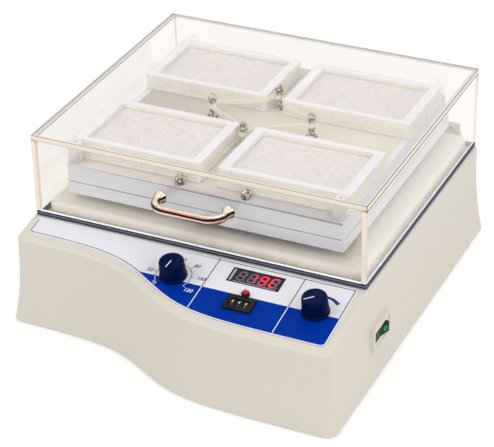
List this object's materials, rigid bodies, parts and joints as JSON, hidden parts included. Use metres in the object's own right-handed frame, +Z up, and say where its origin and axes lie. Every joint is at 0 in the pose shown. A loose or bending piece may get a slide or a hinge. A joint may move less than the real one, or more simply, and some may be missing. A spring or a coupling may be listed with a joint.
{
  "type": "microplate incubator",
  "caption": "Bench incubator and orbital shaker for microplates: heated platform on cranks under a hinged clear cover, with a sloping control panel.",
  "frame": {"origin": "middle of the footprint, on the bench under the rubber feet", "axes": "+X to the right as seen from the front, +Y to the back, +Z up; the control panel faces -Y"},
  "size_m": [0.342, 0.3844, 0.1746],
  "materials": {
    "housing_shell": "satin moulded",
    "sheet_steel": "powder coat",
    "plated_screw": "bright zinc",
    "foot_rubber": "matte",
    "overlay_film": "printed film",
    "seal_rubber": "matte ribbed",
    "black_body": "fine grain",
    "display_lens": "gloss",
    "led_red": "gloss",
    "zinc": "zinc plated",
    "white_nylon": "satin",
    "steel": "turned",
    "motor_paint": "satin",
    "bronze": "sintered",
    "circuit_board": "solder mask",
    "copper_core": "varnished",
    "acrylic": "polished",
    "chrome_plate": "polished",
    "anodised": "light satin grey",
    "heater_rubber": "matte",
    "nickel_brass": "worn nickel plate",
    "elastic": "translucent",
    "clear_plastic": "polished",
    "plate_plastic": "translucent polystyrene",
    "knob_plastic": "satin",
    "rocker_green": "gloss"
  },
  "bodies": {
    "base": {"housing": "housing_shell", "bottom_plate": "sheet_steel", "bottom_screws": "plated_screw", "feet": "foot_rubber", "panel_overlay": "overlay_film", "cover_seal": "seal_rubber", "display_module": "black_body", "display_window": "display_lens", "thumbwheel_case": "black_body", "led_lens": "led_red", "led_holder": "black_body", "timer_movement": "zinc", "speed_potentiometer": "zinc", "switch_frame": "black_body", "hinge_leaves_base": "white_nylon", "hinge_pins": "steel", "hinge_screws_base": "plated_screw", "motor": "motor_paint", "motor_bracket": "zinc", "motor_screws": "plated_screw", "deck_bearings": "bronze", "control_board": "circuit_board", "transformer": "copper_core", "power_inlet": "black_body"},
    "cover": {"cover_top": "acrylic", "cover_front": "acrylic", "cover_back": "acrylic", "cover_left": "acrylic", "cover_right": "acrylic", "cover_handle": "chrome_plate", "handle_screws": "plated_screw", "hinge_leaves_cover": "white_nylon", "hinge_screws_cover": "plated_screw"},
    "crank": {"drive_crank": "steel", "counterweight": "bronze", "motor_shaft": "steel"},
    "idler_1": {"idler_crank_1": "steel"},
    "idler_2": {"idler_crank_2": "steel"},
    "idler_3": {"idler_crank_3": "steel"},
    "platform": {"platform_tray": "anodised", "platform_pan": "anodised", "heater_mat": "heater_rubber", "temperature_probe": "steel", "platform_bearings": "bronze", "band_posts": "nickel_brass", "elastic_band": "elastic", "corner_stops": "clear_plastic", "stop_pins": "nickel_brass", "microplate_1": "plate_plastic", "microplate_2": "plate_plastic", "microplate_3": "plate_plastic", "microplate_4": "plate_plastic"},
    "timer": {"timer_knob": "knob_plastic", "timer_shaft": "steel"},
    "speed": {"speed_knob": "knob_plastic", "speed_shaft": "steel"},
    "rocker": {"power_rocker": "rocker_green"},
    "wheel_1": {"thumbwheel_1": "black_body"},
    "wheel_2": {"thumbwheel_2": "black_body"},
    "wheel_3": {"thumbwheel_3": "black_body"}
  },
  "joints": [
    {"name": "cover_hinge", "type": "hinge", "parent": "base", "child": "cover", "pos_m": [0, 0.18588, 0.099], "axis": [-1, 0, 0], "range_deg": [0, 95]},
    {"name": "drive_spin", "type": "hinge", "parent": "base", "child": "crank", "pos_m": [0, 0.04213, 0.107], "axis": [0, 0, 1], "continuous": true},
    {"name": "platform_orbit", "type": "hinge", "parent": "crank", "child": "platform", "pos_m": [0, 0.04362, 0.12], "axis": [0, 0, 1], "continuous": true},
    {"name": "idler_1_spin", "type": "hinge", "parent": "base", "child": "idler_1", "pos_m": [-0.095, 0.12713, 0.107], "axis": [0, 0, 1], "continuous": true},
    {"name": "idler_2_spin", "type": "hinge", "parent": "base", "child": "idler_2", "pos_m": [0.095, 0.12713, 0.107], "axis": [0, 0, 1], "continuous": true},
    {"name": "idler_3_spin", "type": "hinge", "parent": "base", "child": "idler_3", "pos_m": [0, -0.04288, 0.107], "axis": [0, 0, 1], "continuous": true},
    {"name": "timer_turn", "type": "hinge", "parent": "base", "child": "timer", "pos_m": [-0.004, -0.13437, 0.08641], "axis": [0, -0.1633, 0.9866], "range_deg": [-299, 0]},
    {"name": "speed_turn", "type": "hinge", "parent": "base", "child": "speed", "pos_m": [0.1316, -0.13758, 0.08588], "axis": [0, -0.1633, 0.9866], "range_deg": [-270, 0]},
    {"name": "rocker_tilt", "type": "hinge", "parent": "base", "child": "rocker", "pos_m": [0.1646, -0.07787, 0.0395], "axis": [0, 0, 1], "range_deg": [0, 16]},
    {"name": "wheel_1_spin", "type": "hinge", "parent": "base", "child": "wheel_1", "pos_m": [0.0603, -0.14931, 0.07983], "axis": [1, 0, 0], "continuous": true},
    {"name": "wheel_2_spin", "type": "hinge", "parent": "base", "child": "wheel_2", "pos_m": [0.0666, -0.14931, 0.07983], "axis": [1, 0, 0], "continuous": true},
    {"name": "wheel_3_spin", "type": "hinge", "parent": "base", "child": "wheel_3", "pos_m": [0.0729, -0.14931, 0.07983], "axis": [1, 0, 0], "continuous": true}
  ],
  "couplings": [
    {"joint": "platform_orbit", "follows": "drive_spin", "ratio": -1},
    {"joint": "idler_1_spin", "follows": "drive_spin", "ratio": 1},
    {"joint": "idler_2_spin", "follows": "drive_spin", "ratio": 1},
    {"joint": "idler_3_spin", "follows": "drive_spin", "ratio": 1}
  ]
}
